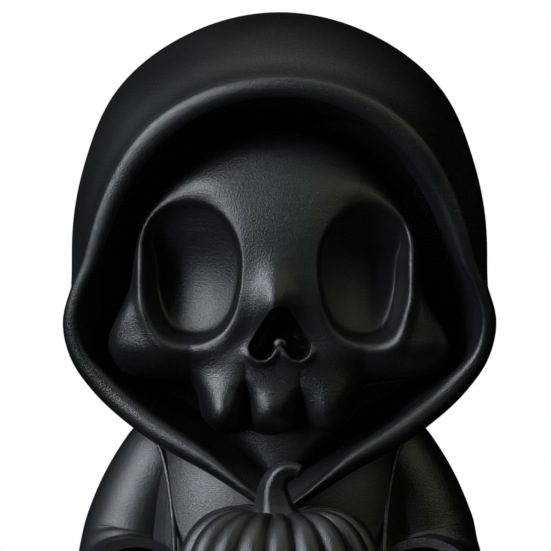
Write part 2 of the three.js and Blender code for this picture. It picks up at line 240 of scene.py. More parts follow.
hood = dict(
    centre=97.2, back=38.0, roundness=2.2, floor=-4.0,
    # radii and depths over the angle: the dome's widest ring, the lip's middle line with the width and
    # depth of its roll, the edge of the face inside the lip, and the foot of the wall behind that edge;
    # rollOut and rollIn say how far the roll turns, in degrees
    dome=[(0, 42.8), (25, 42.1), (45, 41), (65, 38.4), (85, 37.3), (105, 37.3), (120, 37.8), (150, 36.4),
          (180, 34.8)],
    domeDepth=[(0, -4), (60, -1), (110, 2), (180, 4)],
    lip=[(0, 30.4), (40, 30.7), (70, 30.8), (90, 32.4), (99, 35.2), (107, 37.8), (116, 38.9), (126, 38.1),
         (140, 37.1), (158, 37.2), (168, 39.3), (180, 44)],
    lipFront=[(0, -31), (45, -28.8), (66, -26.4), (90, -23.8), (112, -20.6), (126, -20.8), (140, -22.8),
              (160, -26), (180, -28.6)],
    lipWide=[(0, 1.9), (45, 2.4), (75, 2.3), (95, 2.2), (107, 2.2), (116, 2.2), (126, 2.6), (140, 2.6),
             (158, 2.3), (180, 1.4)],
    lipInner=[(0, 1), (60, 0.8), (90, 0.5), (106, 0.4), (126, 0.7), (158, 0.7), (180, 0.4)],
    lipDeep=[(0, 1.3), (90, 1.6), (126, 2.7), (180, 2.4)],
    rollOut=[(0, 58), (60, 62), (90, 70), (104, 98), (140, 125), (180, 125)],
    rollIn=[(0, 62), (60, 66), (90, 68), (110, 60), (126, 74), (140, 88), (180, 88)],
    edge=[(0, 25.4), (36, 27.4), (60, 27.3), (90, 29.4), (106, 32.5), (118, 35.8), (126, 36.2), (140, 35.6),
          (158, 35.8), (168, 37.9), (180, 42.8)],
    edgeDepth=[(0, -19), (45, -18), (90, -14.5), (115, -13.5), (140, -14.5), (160, -13), (180, -13)],
    foot=[(0, 26.5), (90, 30.5), (118, 34), (150, 32), (180, 32)],
    edgeStep=0.15, tipSlope=0.42, edgeRound=0.9, edgeFar=0.06, facePull=0.5,
    # how far the cloth dips before it rolls, where along the side and how widely
    dip=0.35, dipAt=(0.86, 0.1),
    around=184, rows=dict(dome=22, side=20, roll=12, face=8, edge=5, wall=6, floor=2),
    # how much larger the plug is that frees the space inside from the robe, and where it ends in front
    freeFoot=2.2, freeEdge=1.1, freeFront=-40.0,
)


def hoodLines():
    # the lip and the edge come to a point below, so only they don't end level
    ends = {"lip": hood["tipSlope"], "edge": hood["tipSlope"]}
    names = ["dome", "domeDepth", "lip", "lipFront", "lipWide", "lipInner", "lipDeep", "rollOut", "rollIn",
             "edge", "edgeDepth", "foot"]
    return {name: through(hood[name], ends.get(name, 0.0)) for name in names}


def hoodTurns():
    turn = fullTurn(hood["around"])
    return turn, np.minimum(turn, 2 * math.pi - turn) / degree


hoodAt = hoodLines()


def swept(section, turn, centre):
    # radius r and depth y at each angle: x = r sin, z = centre + r cos
    r, y = section
    return np.stack([r * np.sin(turn), y, centre + r * np.cos(turn)], -1)


def between(a, b, s):
    # the straight line a + (b - a) s
    return [a[k] + (b[k] - a[k]) * s for k in range(2)]


def bent(start, leave, end, arrive, s):
    # a cubic from start to end that leaves and arrives along the given directions
    reach = np.hypot(end[0] - start[0], end[1] - start[1])
    return [hermite(start[k], end[k], leave[k], arrive[k], s, reach) for k in range(2)]


def hoodPoints():
    # rows from the middle of the back round to the middle of the floor: a dome, wide sin(s)^(2 / n) and
    # back cos(s)^(2 / n); the side; the oval roll of the lip; the face inside it, which bulges by a sine;
    # its rounded edge, (1 - s)^2 before + 2s(1 - s) edge + s^2 after; the wall; and the flat floor
    turn, angle = hoodTurns()
    at = {name: line(angle)[None] for name, line in hoodAt.items()}
    outward, inward = at["rollOut"] * degree, at["rollIn"] * degree
    middle = at["lipFront"] + at["lipDeep"]

    def roll(t):  # an oval that is narrower on its inner side
        wide = at["lipWide"] * np.where(t < 0, at["lipInner"], 1)
        return [at["lip"] + wide * np.sin(t), middle - at["lipDeep"] * np.cos(t)]

    column = {name: np.linspace(0, 1, count + 1)[1:, None] for name, count in hood["rows"].items()}
    bulge = 2 / hood["roundness"]
    s = np.concatenate([[[0.0]], column["dome"]])
    wide = [at["dome"], at["domeDepth"]]
    dome = [wide[0] * power(np.sin(s * math.pi / 2), bulge),
            wide[1] + (hood["back"] - wide[1]) * power(np.cos(s * math.pi / 2), bulge)]
    s = column["side"]
    side = bent(wide, [0, -1], roll(outward), [-np.cos(outward), -np.sin(outward)], s)
    side[0] = side[0] - hood["dip"] * lump(s, *hood["dipAt"])
    lip = roll(outward - (outward + inward) * column["roll"])
    rollEnd = roll(-inward)
    edge = [np.minimum(at["edge"], rollEnd[0] - hood["edgeStep"]), at["edgeDepth"]]
    foot = [at["foot"], np.full_like(at["foot"], hood["floor"])]
    lengthFace = np.hypot(edge[0] - rollEnd[0], edge[1] - rollEnd[1])
    near = np.clip(1 - hood["edgeRound"] / lengthFace, 0.3, 1)  # the face ends where its corner starts
    s = column["face"] * near
    face = between(rollEnd, edge, s)
    face[0] = face[0] + hood["facePull"] * np.minimum(1, lengthFace / 4) * np.sin(s * math.pi)
    beforeEdge = between(rollEnd, edge, near)
    afterEdge = between(edge, foot, hood["edgeFar"])
    s = column["edge"]
    corner = [(1 - s) ** 2 * beforeEdge[k] + 2 * s * (1 - s) * edge[k] + s * s * afterEdge[k]
              for k in range(2)]
    wall = between(afterEdge, foot, column["wall"])
    floor = [foot[0] * (1 - column["floor"]), foot[1] * np.ones_like(column["floor"])]
    parts = [dome, side, lip, face, corner, wall, floor]
    section = [np.concatenate([np.broadcast_to(part[k], (part[0].shape[0], len(turn))) for part in parts])
               for k in range(2)]
    return swept(section, turn, hood["centre"])


def hollowPoints():
    # a plug a little larger than the space inside the hood, which is cut out of the robe
    turn, angle = hoodTurns()
    zero = 0 * angle
    foot = hoodAt["foot"](angle) + hood["freeFoot"]
    edge = hoodAt["edge"](angle) + hood["freeEdge"]
    back, front = zero + hood["floor"], zero + hood["freeFront"]
    r = np.stack([zero, foot, edge, edge, zero])
    y = np.stack([back, back, hoodAt["edgeDepth"](angle), front, front])
    return swept([r, y], turn, hood["centre"])


# skull

skull = dict(
    centre=90.0, back=-2.0, rim=-13.0, front=-24.5, count=190, crowd=0.95, fixedFrom=0.93, wallRows=5,
    # how full the cranium is and how steeply it falls back beyond its outline
    fall=[(0, 3), (36, 3.6), (48, 4.4), (60, 5.5), (75, 7), (90, 6.5), (105, 3.6), (125, 2.6), (180, 2.6)],
    beyond=26,
    # the whole outline with the jaw, in degrees from straight up, and the cranium alone
    outline=[(0, 29.3), (22, 28.7), (40, 28.2), (57, 27.9), (69, 27.3), (78, 26.45), (88, 26.8), (95, 28.3),
             (104, 31.2), (109, 31.6), (115, 31), (122.5, 27.3), (133, 23.1), (139, 22.35), (146, 24.8),
             (154, 26.1), (160, 26.05), (170, 25.4), (180, 25.2)],
    cranium=[(0, 29.3), (22, 28.7), (57, 27.9), (78, 26.5), (88, 26.8), (104, 31.2), (110, 31.6), (117, 30.2),
             (124, 26.6), (133, 22.6), (139, 21.8), (146, 23.6), (154, 25.2), (165, 25.6), (180, 25.2)],
    # raised places: the height, then the middle and the width in x and in z
    brow=(0.5, 14.5, 8, 110.5, 3.6), cheek=(0.9, 23, 7, 80.6, 3.4), bridge=(2.7, -0.9, 3.0, 89.4, 5.4),
    # the full middle of the forehead: its height and half-width, where it starts and where it ends
    crown=2.0, crownWide=20, crownLow=(80, 92), crownHigh=(100, 122),
)
socket = dict(
    x=15.5, z=95.1,
    # the bowl's deepest place; the slopes that it takes from there towards the nose and outwards,
    # each after a round bottom of the given size, and its bends upwards and downwards
    deep=(18.5, -15.6, 92.2), inward=(1.02, 7.5), outward=(0.06, 3.0), above=0.032, below=0.034,
    # from straight outwards over the top, in degrees: how far the rim is, how steep its wall is,
    # how round it is and how far it stands up
    reach=[(0, 8.1), (17, 8.6), (36, 10.2), (50, 11.1), (70, 11.5), (100, 11.4), (120, 10.9), (150, 9.6),
           (180, 8.9), (204, 9.3), (227, 10.7), (247, 12.1), (275, 12.7), (291, 12.3), (305, 11), (320, 9.6),
           (342, 8.4)],
    steep=[(0, 5), (50, 4), (90, 3), (130, 5), (180, 9), (230, 7), (270, 5), (315, 4.8)],
    soft=[(0, 2.6), (50, 3), (90, 4), (130, 2), (180, 0.3), (230, 0.8), (270, 3), (315, 4)],
    ridge=[(0, 1.3), (50, 0.6), (90, 0), (130, 0), (180, 0), (230, 0.2), (270, 0.6), (315, 1.3)],
    # shares of the reach: where the softness starts, where it ends, and the ridge's place and width
    softFrom=(0.25, 0.85), softTo=(1.1, 1.5), ridgeAt=(1.13, 0.14), blend=0.9,
    # the band of finer cells: its middle and width, how much they gather, and the share they start at
    finer=(0.97, 0.09, 0.65), finerFrom=0.4,
    # how much narrower and lower the right eye is, and over which places in x and z
    narrower=1.3, narrowerX=(8, 23), narrowerZ=(79, 88),
    lower=0.8, lowerX=(13, 9), lowerFrom=(96, 105), lowerTo=(105, 116),
    # the oval round each eye that has no sharp edge in front of a depth
    castX=15.0, castWide=10.2, castHigh=14, castFront=-12,
)
# the nose is two round-ended slots that spread from one top, so a septum stays between their lower ends
nose = dict(
    top=86.9, lowX=3.2, lowZ=81.7, radius=2.28, floor=-19.4, cup=4.4, cupEnd=84, cupRows=9, cutFront=-34.0,
    # the raised curl round the lower ends: its height, place and width, and where it fades upwards
    lip=0.6, lipAt=(-0.3, 0.7), lipTop=(80, 82.5), around=64,
    # the septum's rounded top, which stands in the notch between the slots
    knob=[(0.1, -24.0, 82.1), (0.1, -21.5, 82.3), (0.1, -17.5, 82.4)], knobRadius=1.2, knobGrid=(32, 8),
)
jaw = dict(
    x=-0.4, z=78.0, halfWidth=15.0, halfHeight=13.6, front=-24.6, deep=10.0, squareness=3.2, blunt=3.8,
    blend=2.5,
    # how it falls back above, over the given heights
    back=8, backOver=(79, 96),
    # how it leans in below a height: its slope in the middle, with the place and width of that, and the
    # share of it at the sides
    lean=0.36, leanFrom=81.0, leanAt=(1.8, 6.2), leanSides=0.2,
    # each tooth lobe's place, half-width and lower end; how far the surface falls between them,
    # the heights where the left and the right groove end, the place where they meet, and the fade there
    lobes=[(-10.4, 4.2, 65.2), (-1.1, 4.6, 64.2), (8.2, 4.5, 65.4)], between=4.8, tops=(73.6, 72.4),
    topsMeet=-1, topFade=(3, 2.5),
    # how far a lobe bulges and at what height; the lobe right of a place bulges by a share of that
    bulge=3.4, bulgeAt=(69.5, 5.0), flatFrom=3.4, flatShare=0.5,
)


def gather(value, middle, width, amount):
    # moves numbers towards the middle of a band, so that the grid is finer there
    fade = np.exp(-(((value - middle) / (3.2 * width)) ** 2))
    return value - amount * width * np.tanh((value - middle) / width) * fade


def aroundPlace(x, z, centreX, centreZ, side, reach):
    # angle round a place, from straight outwards over the top, and distance as a share of its reach
    away, up = (x - centreX) * side, z - centreZ
    angle = np.degrees(np.arctan2(up, away))
    return angle, np.hypot(away, up) / reach(angle)


def noseInside(x, z):
    # how far inside the nearer slot's edge: its radius less the distance from its middle line
    x, z = np.abs(x), z - nose["top"]
    low = nose["lowZ"] - nose["top"]
    along = np.clip((x * nose["lowX"] + z * low) / (nose["lowX"] ** 2 + low ** 2), 0, 1)
    return nose["radius"] - np.hypot(x - along * nose["lowX"], z - along * low)


def roundSlope(distance, slope, size):
    # slope (sqrt(d^2 + size^2) - size): round at the bottom, then straight
    return slope * (np.sqrt(distance ** 2 + size ** 2) - size)


def mound(x, z, place):
    # a raised place on the face
    height, middleX, wideX, middleZ, wideZ = place
    return height * lump(x, middleX, wideX) * lump(z, middleZ, wideZ)


def craniumDepth(x, z):
    # a pillow, at share q of its outline: front + (rim - front)(1 - (1 - q^fall)^(1 / fall))
    angle = np.degrees(np.arctan2(np.abs(x), z - skull["centre"]))
    q = np.hypot(x, z - skull["centre"]) / through(skull["cranium"])(angle)
    inner = np.clip(q, 0, 1)
    fall = through(skull["fall"])(angle)
    pillow = skull["front"] + (skull["rim"] - skull["front"]) * (1 - (1 - inner ** fall) ** (1 / fall))
    pillow = pillow + skull["beyond"] * np.maximum(0, q - 1)
    for side in (-1, 1):
        pillow = pillow - mound(x * side, z, skull["brow"])
        pillow = pillow - mound(x * side, z, skull["cheek"])
    pillow = pillow - mound(x, z, skull["bridge"])
    crown = np.maximum(0, 1 - (x / skull["crownWide"]) ** 2) ** 1.5
    return pillow - skull["crown"] * crown * step(*skull["crownLow"], z) * (1 - step(*skull["crownHigh"], z))


def jawDepth(x, z):
    # a barrel with the same curve over its own width and height
    across = (x - jaw["x"]) / jaw["halfWidth"]
    down = np.minimum(0, z - jaw["z"]) / jaw["halfHeight"]
    n = jaw["squareness"]
    c = np.clip((np.abs(across) ** n + np.abs(down) ** n) ** (1 / n), 0, 1)
    barrel = jaw["front"] + jaw["deep"] * (1 - (1 - c ** jaw["blunt"]) ** (1 / jaw["blunt"]))
    lean = jaw["leanSides"] + (1 - jaw["leanSides"]) * lump(x, *jaw["leanAt"])
    barrel = barrel + jaw["lean"] * np.maximum(0, jaw["leanFrom"] - z) * lean
    return barrel + jaw["back"] * step(*jaw["backOver"], z)


def withTeeth(depth, x, z):
    # each lobe is a round share sqrt(1 - d^2) that ends below in a half circle, with grooves between
    tooth = np.zeros_like(x)
    for middle, width, end in jaw["lobes"]:
        d = np.hypot(x - middle, np.minimum(0, z - end - width)) / width
        tooth = np.maximum(tooth, np.sqrt(np.maximum(0, 1 - d * d)))
    top = np.where(x < jaw["topsMeet"], *jaw["tops"])
    below, above = jaw["topFade"]
    depth = depth + jaw["between"] * (1 - tooth) * (1 - step(top - below, top + above, z))
    share = np.where(x > jaw["flatFrom"], jaw["flatShare"], 1)
    return depth - jaw["bulge"] * tooth * lump(z, *jaw["bulgeAt"]) * share


def withSockets(depth, x, z):
    # each bowl is sunk where it lies behind the face, up to a wall that rises at the rim
    reach, steep, soft, ridge = (roundThrough(socket[k]) for k in ("reach", "steep", "soft", "ridge"))
    for side in (-1, 1):
        angle, q = aroundPlace(x, z, side * socket["x"], socket["z"], side, reach)
        away, up = x * side - socket["deep"][0], z - socket["deep"][2]
        bowl = socket["deep"][1] - np.where(away < 0, roundSlope(away, *socket["inward"]),
                                            roundSlope(away, *socket["outward"]))
        bowl = bowl - np.where(up < 0, socket["below"], socket["above"]) * up ** 2
        sunk = softMin(bowl - depth, steep(angle) * reach(angle) * (1 - q), socket["blend"])
        sunk = softOver(sunk, soft(angle) * step(*socket["softFrom"], q)) * (1 - step(*socket["softTo"], q))
        depth = depth + sunk - ridge(angle) * lump(q, *socket["ridgeAt"])
    return depth


def faceDepth(x, z):
    # depth of the face at a place seen from the front: the smaller of the cranium's and the jaw's,
    # with the grooves, the sockets and the nose's curls
    depth = softMin(craniumDepth(x, z), jawDepth(x, z), jaw["blend"])
    depth = withSockets(withTeeth(depth, x, z), x, z)
    curl = lump(noseInside(x, z), *nose["lipAt"]) * (1 - step(*nose["lipTop"], z))
    return depth - nose["lip"] * curl


def skullPoints():
    # a square grid rounded to a disc, x' = u sqrt(1 - v^2/2), stretched to the outline, with finer
    # cells along the rims; the depth comes from faceDepth, and a wall runs back from its border
    count = skull["count"]
    line = np.sin(np.linspace(-1, 1, count) * skull["crowd"]) / math.sin(skull["crowd"])
    u, v = np.meshgrid(line, line)
    discX, discZ = u * np.sqrt(1 - v * v / 2), v * np.sqrt(1 - u * u / 2)
    far = through(skull["outline"])(np.degrees(np.arctan2(np.abs(discX), discZ)))
    x, z = discX * far, skull["centre"] + discZ * far
    reach, free = roundThrough(socket["reach"]), 1 - step(skull["fixedFrom"], 1, np.hypot(discX, discZ))
    for side in (-1, 1):
        middle = side * socket["x"]
        q = aroundPlace(x, z, middle, socket["z"], side, reach)[1]
        scale = 1 + (gather(q, *socket["finer"]) / np.maximum(q, socket["finerFrom"]) - 1) * free
        scale = np.where(q > socket["finerFrom"], scale, 1)
        x = middle + (x - middle) * scale
        z = socket["z"] + (z - socket["z"]) * scale
    narrower = socket["narrower"] * step(*socket["narrowerX"], x) * step(*socket["narrowerZ"], z)
    lower = socket["lower"] * lump(x, *socket["lowerX"]) * step(*socket["lowerFrom"], z)
    lower = lower * (1 - step(*socket["lowerTo"], z))
    front = np.stack([x - narrower, faceDepth(x, z), z - lower], -1)
    run = np.arange(count - 1)
    border = np.concatenate([run, run * count + count - 1, count * count - 1 - run,
                             (count - 1 - run) * count])
    return front, border


def noseSlot(side):
    # a round-ended slot that narrows to its floor: radius r cos(t), depth floor - cup (1 - sin(t))
    turn = fullTurn(nose["around"])
    lean = math.atan2(nose["lowX"], nose["top"] - nose["lowZ"])
    upper = np.cos(turn + lean) > 0
    middleX, middleZ = np.where(upper, 0, nose["lowX"]), np.where(upper, nose["top"], nose["lowZ"])
    t = np.linspace(0, nose["cupEnd"], nose["cupRows"])[:, None] * degree
    radius = nose["radius"] * np.concatenate([[[1.0], [1.0]], np.cos(t)])
    mouth = nose["floor"] - nose["cup"]
    y = np.concatenate([[[nose["cutFront"]], [mouth]], nose["floor"] - nose["cup"] * (1 - np.sin(t))])
    x = (middleX + radius * np.sin(turn)) * side
    rows = np.stack([x, y + 0 * turn, middleZ + radius * np.cos(turn)], -1)
    halfX, halfZ = side * nose["lowX"] / 2, (nose["top"] + nose["lowZ"]) / 2
    return withPoles(rows, (halfX, nose["cutFront"], halfZ), (halfX, y[-1, 0], halfZ))


def makeSkull():
    front, edge = skullPoints()
    count = skull["count"]
    verts = [front.reshape(-1, 3)]
    corner = np.arange((count - 1) * count).reshape(count - 1, count)[:, :-1]
    faces = np.stack([corner, corner + 1, corner + count + 1, corner + count], -1).reshape(-1, 4).tolist()
    ring, total = edge, count * count
    border = verts[0][edge]
    for s in np.linspace(0, 1, skull["wallRows"] + 1)[1:]:
        row = border.copy()
        row[:, 1] = border[:, 1] + (skull["back"] - border[:, 1]) * s
        verts.append(row)
        after = total + np.arange(len(edge))
        faces += np.stack([ring, after, np.roll(after, -1), np.roll(ring, -1)], -1).tolist()
        ring, total = after, total + len(edge)
    verts.append([[0.0, skull["back"], skull["centre"]]])
    faces += np.stack([ring, np.full(len(ring), total), np.roll(ring, -1)], -1).tolist()
    made = putMesh("skull", np.concatenate(verts), faces)
    for side in (-1, 1):
        combine(made, skin("nose", noseSlot(side)), "DIFFERENCE")
    knob = carried(nose["knob"], lambda s: nose["knobRadius"] + 0 * s, *nose["knobGrid"])
    return combine(made, skin("septum", knob), "UNION")


# neck

neck = dict(tip=55.4, slope=1.0, halfWidth=12.8, top=81.6, front=-18.8, back=-1.3, corner=0.7, around=56,
            rows=34)


def neckPoints():
    # a keel: half-width grows from the tip by the slope up to its full width
    turn = fullTurn(neck["around"])
    s = np.linspace(0, 1, neck["rows"])[:, None]
    z = neck["tip"] + (neck["top"] - neck["tip"]) * s
    wide = np.minimum(neck["halfWidth"], (z - neck["tip"]) / neck["slope"])
    middle, half = (neck["front"] + neck["back"]) / 2, (neck["back"] - neck["front"]) / 2
    closed = (s < 1) & (s > 0)
    x = wide * power(np.cos(turn), neck["corner"]) * closed
    y = middle + half * power(np.sin(turn), neck["corner"]) * closed
    y = np.where(s == 0, neck["front"], y)
    return np.stack([x, y, z + 0 * turn], -1)


# robe and base

robe = dict(
    halfWidth=[(2, 33.5), (12, 32.3), (26, 29.6), (45, 26.4), (57, 25), (66, 22), (74, 13)],
    front=[(2, 29.5), (12, 28), (26, 25.8), (45, 24), (57, 22.6), (66, 20), (74, 13)],
    back=[(2, 30.5), (12, 29.4), (26, 27.4), (45, 25.2), (57, 24.4), (66, 22), (74, 14)],
    bottom=2.0, top=76.0, squareness=2.3, folds=11, foldDepth=1.3, foldTop=46.0,
    # the rolled hem: how thick it is, its height and half-height
    hem=0.45, hemAt=(5.6, 1.3), around=198, rows=56,
)
base = dict(radius=37.0, squash=0.95, height=4.0, edge=1.2, edgeRows=9, lowEdge=0.5, around=120)


def robePoints():
    # rounded oval sections stacked from the hem to the shoulders, with folds that grow downwards:
    # w = cos(folds turn + 0.5 sin(2 turn + 0.6)) swells by foldDepth (w - w^2 / 4 + 0.12)
    lines = {name: through(robe[name]) for name in ("halfWidth", "front", "back")}
    turn = fullTurn(robe["around"])
    s = np.linspace(0, 1, robe["rows"])[:, None]
    z = robe["bottom"] + (robe["top"] - robe["bottom"]) * s
    loose = np.maximum(0, 1 - z / robe["foldTop"]) ** 1.4
    wave = np.cos(robe["folds"] * turn + 0.5 * np.sin(2 * turn + 0.6))
    swell = robe["foldDepth"] * loose * (wave - 0.25 * wave * wave + 0.12)
    swell = swell + robe["hem"] * lump(z, *robe["hemAt"])
    across, along = power(np.cos(turn), 2 / robe["squareness"]), power(np.sin(turn), 2 / robe["squareness"])
    depth = np.where(along < 0, lines["front"](z), lines["back"](z))
    rows = np.stack([across * (lines["halfWidth"](z) + swell), along * (depth + swell), z + 0 * turn], -1)
    return withPoles(rows, (0, 0, robe["bottom"]), (0, 0, robe["top"]))


def basePoints():
    # a disc that is squashed from front to back, with a quarter circle for its upper edge:
    # radius - edge (1 - cos(s)), height - edge (1 - sin(s))
    turn = fullTurn(base["around"])
    s = np.linspace(0, 90, base["edgeRows"]) * degree
    radius, height, edge, low = (base[name] for name in ("radius", "height", "edge", "lowEdge"))
    r = np.concatenate([[0, radius - low, radius], radius - edge + edge * np.cos(s), [0]])[:, None]
    z = np.concatenate([[0, 0, low], height - edge + edge * np.sin(s), [height]])[:, None]
    return np.stack([r * np.cos(turn), r * np.sin(turn) * base["squash"], z + 0 * turn], -1)


# sleeves

sleeve = dict(
    path=[(17, -3, 66.4), (19.9, -5.2, 60.8), (23.9, -5.2, 52.5), (26.5, -6, 44.5), (27.2, -11, 39.6),
          (26.4, -18.5, 38.4), (25.2, -28, 38.6)],
    radius=[(0, 6.6), (0.14, 8.1), (0.32, 8.9), (0.5, 9.2), (0.72, 8.8), (1, 9.8)],
    # shares of the radius and of the length: the creases at the elbow and the rolled cuff
    crease=0.025, creases=40, creaseAt=(0.55, 0.1), cuff=0.025, cuffAt=(0.985, 0.012),
    hollow=8.2, hollowDepth=9.0, hollowOut=3, hollowGrid=(48, 8), around=56, rows=64,
)
# each seam runs down the chest beside a sleeve, through these places (x, z)
seam = dict(
    path=[(23.2, 66.2), (22.4, 64.8), (21.2, 62.6), (20.4, 60.2), (19.7, 57), (19.2, 53.6), (18.8, 50),
          (18.6, 47), (18.4, 43.5), (18.2, 40)],
    radius=0.5, around=12, rows=70, seenFrom=-60, evened=2,
)


def sleevePoints(side):
    # a tube whose radius is times 1 - creases sin(40 s) on the inside of the elbow + a rolled cuff
    def folds(s, turn):
        inside = 0.5 - 0.5 * np.cos(turn - 0.6)
        crease = sleeve["crease"] * np.sin(s * sleeve["creases"]) * lump(s, *sleeve["creaseAt"]) * inside
        return 1 - crease + sleeve["cuff"] * lump(s, *sleeve["cuffAt"])

    radius = through(sleeve["radius"])
    return carried(sleeve["path"], radius, sleeve["around"], sleeve["rows"], side, True, folds)


def seamPoints(figure, side):
    # a thin tube: its places are looked for on the cloth from the front, and then their depths are
    # evened out along the seam, (before + 2 here + after) / 4
    bpy.context.view_layer.update()
    starts = [Vector((x * side, seam["seenFrom"], z)) * mm for x, z in seam["path"]]
    points = np.array([tuple(figure.ray_cast(start, (0, 1, 0))[1] / mm) for start in starts])
    for _ in range(seam["evened"]):
        points[1:-1, 1] = (points[:-2, 1] + 2 * points[1:-1, 1] + points[2:, 1]) / 4
    return carried(points, lambda s: seam["radius"] + 0 * s, seam["around"], seam["rows"])


def cuffHollow(side):
    # a plain tube along the sleeve's last stretch, which is cut out of its end
    end, before = (np.array(sleeve["path"][i]) for i in (-1, -2))
    way = (end - before) / np.linalg.norm(end - before)
    places = (-sleeve["hollowDepth"], -sleeve["hollowDepth"] / 2, sleeve["hollowOut"])
    middle = [end + way * s for s in places]
    return carried(middle, lambda s: sleeve["hollow"] + 0 * s, *sleeve["hollowGrid"], side)


# pumpkin

pumpkin = dict(
    y=-34.0, z=41.0, halfWidth=18.2, halfDepth=16.6, halfHeight=15.4, roundness=2.5,
    ribs=18, ribDepth=0.11, ribSharp=1.5, dimple=3.4, dimpleWidth=0.42, perRib=12, rows=60,
    # how deep the grooves run over both ends, and the girths where that starts and where it stops
    endDepth=0.9, endFrom=(0.05, 0.35), endTo=(1.0, 0.6),
)
stem = dict(
    path=[(-0.4, -34, 51), (-1, -34.2, 55.4), (-0.9, -34.6, 58.6), (0.6, -35, 60.9), (3.4, -35.4, 61)],
    radius=[(0, 6), (0.22, 3.8), (0.5, 2.6), (0.8, 1.8), (1, 1.2)],
    flutes=5, fluteDepth=0.1, fluteFade=0.6, twist=2.4, around=40, rows=44,
)


def pumpkinPoints():
    # a squat round form times 1 - ribDepth (1 - |sin(ribs turn / 2)|)^ribSharp, sunk at both poles
    turn = fullTurn(pumpkin["ribs"] * pumpkin["perRib"])
    rise = np.linspace(0, math.pi, pumpkin["rows"])[:, None]
    girth = power(np.sin(rise), 2 / pumpkin["roundness"])
    groove = (1 - np.abs(np.sin(pumpkin["ribs"] * turn / 2))) ** pumpkin["ribSharp"]
    swell = 1 - pumpkin["ribDepth"] * groove
    sunk = pumpkin["dimple"] * lump(girth, 0, pumpkin["dimpleWidth"])
    side = np.sign(np.cos(rise))
    up = power(np.cos(rise), 2 / pumpkin["roundness"])
    x = pumpkin["halfWidth"] * girth * swell * np.cos(turn)
    y = pumpkin["y"] + pumpkin["halfDepth"] * girth * swell * np.sin(turn)
    z = pumpkin["z"] + pumpkin["halfHeight"] * up - side * sunk + 0 * turn
    ends = step(*pumpkin["endFrom"], girth)
    z = z - side * pumpkin["endDepth"] * groove * ends * step(*pumpkin["endTo"], girth)
    return np.stack([x, y, z], -1)


def stemPoints():
    # a curled tube whose radius is times 1 + depth cos(flutes turn + twist s)
    def flutes(s, turn):
        depth = stem["fluteDepth"] * (1 - stem["fluteFade"] * s)
        return 1 + depth * np.cos(stem["flutes"] * turn + stem["twist"] * s)

    return carried(stem["path"], through(stem["radius"]), stem["around"], stem["rows"], flutes=flutes)


# hands

hand = dict(
    wrist=[(24.6, -21, 39.2), (23.2, -30, 39.1), (20.8, -36, 38.3)], wristRadius=3.6, wristWaist=0.12,
    waistAt=(0.4, 0.2), wristGrid=(24, 16),
    palm=(19.5, -37.1, 38.0), palmSize=(3.0, 4.6, 6.2), palmTurn=20, palmBones=0.05, palmAround=36,
    palmRows=26,
    fingerRows=[40.9, 37.5, 34.1, 30.8], fingerRadius=1.75, fingerReach=50, fingerDroop=0.4, standOff=0.7,
    fingerJoints=(0.04, 0.42, 0.78), fingerGrid=(16, 30),
    thumb=[(19.6, -34.6, 41.2), (18.6, -39.6, 44.2), (14.9, -44.9, 44.9)], thumbJoints=(0.05, 0.55),
    thumbGrid=(16, 24),
    # shares of the radius: the shaft, what a knuckle adds to it and what the tip loses
    shaft=0.74, knuckle=0.3, knuckleWidth=0.075, taper=0.18,
)


def boneRadius(joints):
    # fingerRadius (shaft + knuckle lumps at the joints)(1 - taper s)
    def at(s):
        knuckles = sum(lump(s, joint, hand["knuckleWidth"]) for joint in joints)
        share = hand["shaft"] + hand["knuckle"] * np.minimum(1, knuckles)
        return hand["fingerRadius"] * share * (1 - hand["taper"] * s)

    return at


def wristRadius(s):
    # narrower by a lump at the waist
    return hand["wristRadius"] * (1 - hand["wristWaist"] * lump(s, *hand["waistAt"]))


def palmPoints(side):
    # an oval, wide sin(rise) cos(turn), deep sin(rise) sin(turn), high cos(rise), that swells and dips
    # by palmBones cos(4 pi cos(rise)) sin(rise) and is turned towards the pumpkin
    turn = fullTurn(hand["palmAround"])
    rise = np.linspace(0, math.pi, hand["palmRows"])[:, None]
    wide, deep, high = hand["palmSize"]
    bones = 1 + hand["palmBones"] * np.cos(np.cos(rise) * 4 * math.pi) * np.sin(rise)
    across = wide * bones * np.sin(rise) * np.cos(turn)
    along = deep * bones * np.sin(rise) * np.sin(turn)
    lean = -side * hand["palmTurn"] * degree
    x = across * math.cos(lean) - along * math.sin(lean) + side * hand["palm"][0]
    y = across * math.sin(lean) + along * math.cos(lean) + hand["palm"][1]
    return np.stack([x, y, high * np.cos(rise) + 0 * turn + hand["palm"][2]], -1)


def fingerPath(z):
    # an arc round the pumpkin at a height, a little outside it: the pumpkin's half-width times cos(turn)
    # and its half-depth times sin(turn), both shrunk by (1 - lift^n)^(1 / n)
    lift = abs(z - pumpkin["z"]) / pumpkin["halfHeight"]
    shrink = (1 - lift ** pumpkin["roundness"]) ** (1 / pumpkin["roundness"])
    s = np.array([0, 0.5, 1])
    turn = s * hand["fingerReach"] * degree
    x = (pumpkin["halfWidth"] * shrink + hand["standOff"]) * np.cos(turn)
    y = pumpkin["y"] - (pumpkin["halfDepth"] * shrink + hand["standOff"]) * np.sin(turn)
    return np.stack([x, y, z - s * hand["fingerDroop"]], -1)


def makeHand(side):
    grip = skin("palm", palmPoints(side))
    combine(grip, skin("wrist", carried(hand["wrist"], wristRadius, *hand["wristGrid"], side)), "UNION")
    for z in hand["fingerRows"]:
        finger = carried(fingerPath(z), boneRadius(hand["fingerJoints"]), *hand["fingerGrid"], side)
        combine(grip, skin("finger", finger), "UNION")
    thumb = carried(hand["thumb"], boneRadius(hand["thumbJoints"]), *hand["thumbGrid"], side)
    return combine(grip, skin("thumb", thumb), "UNION")


# the figure

sharpAngle = 38


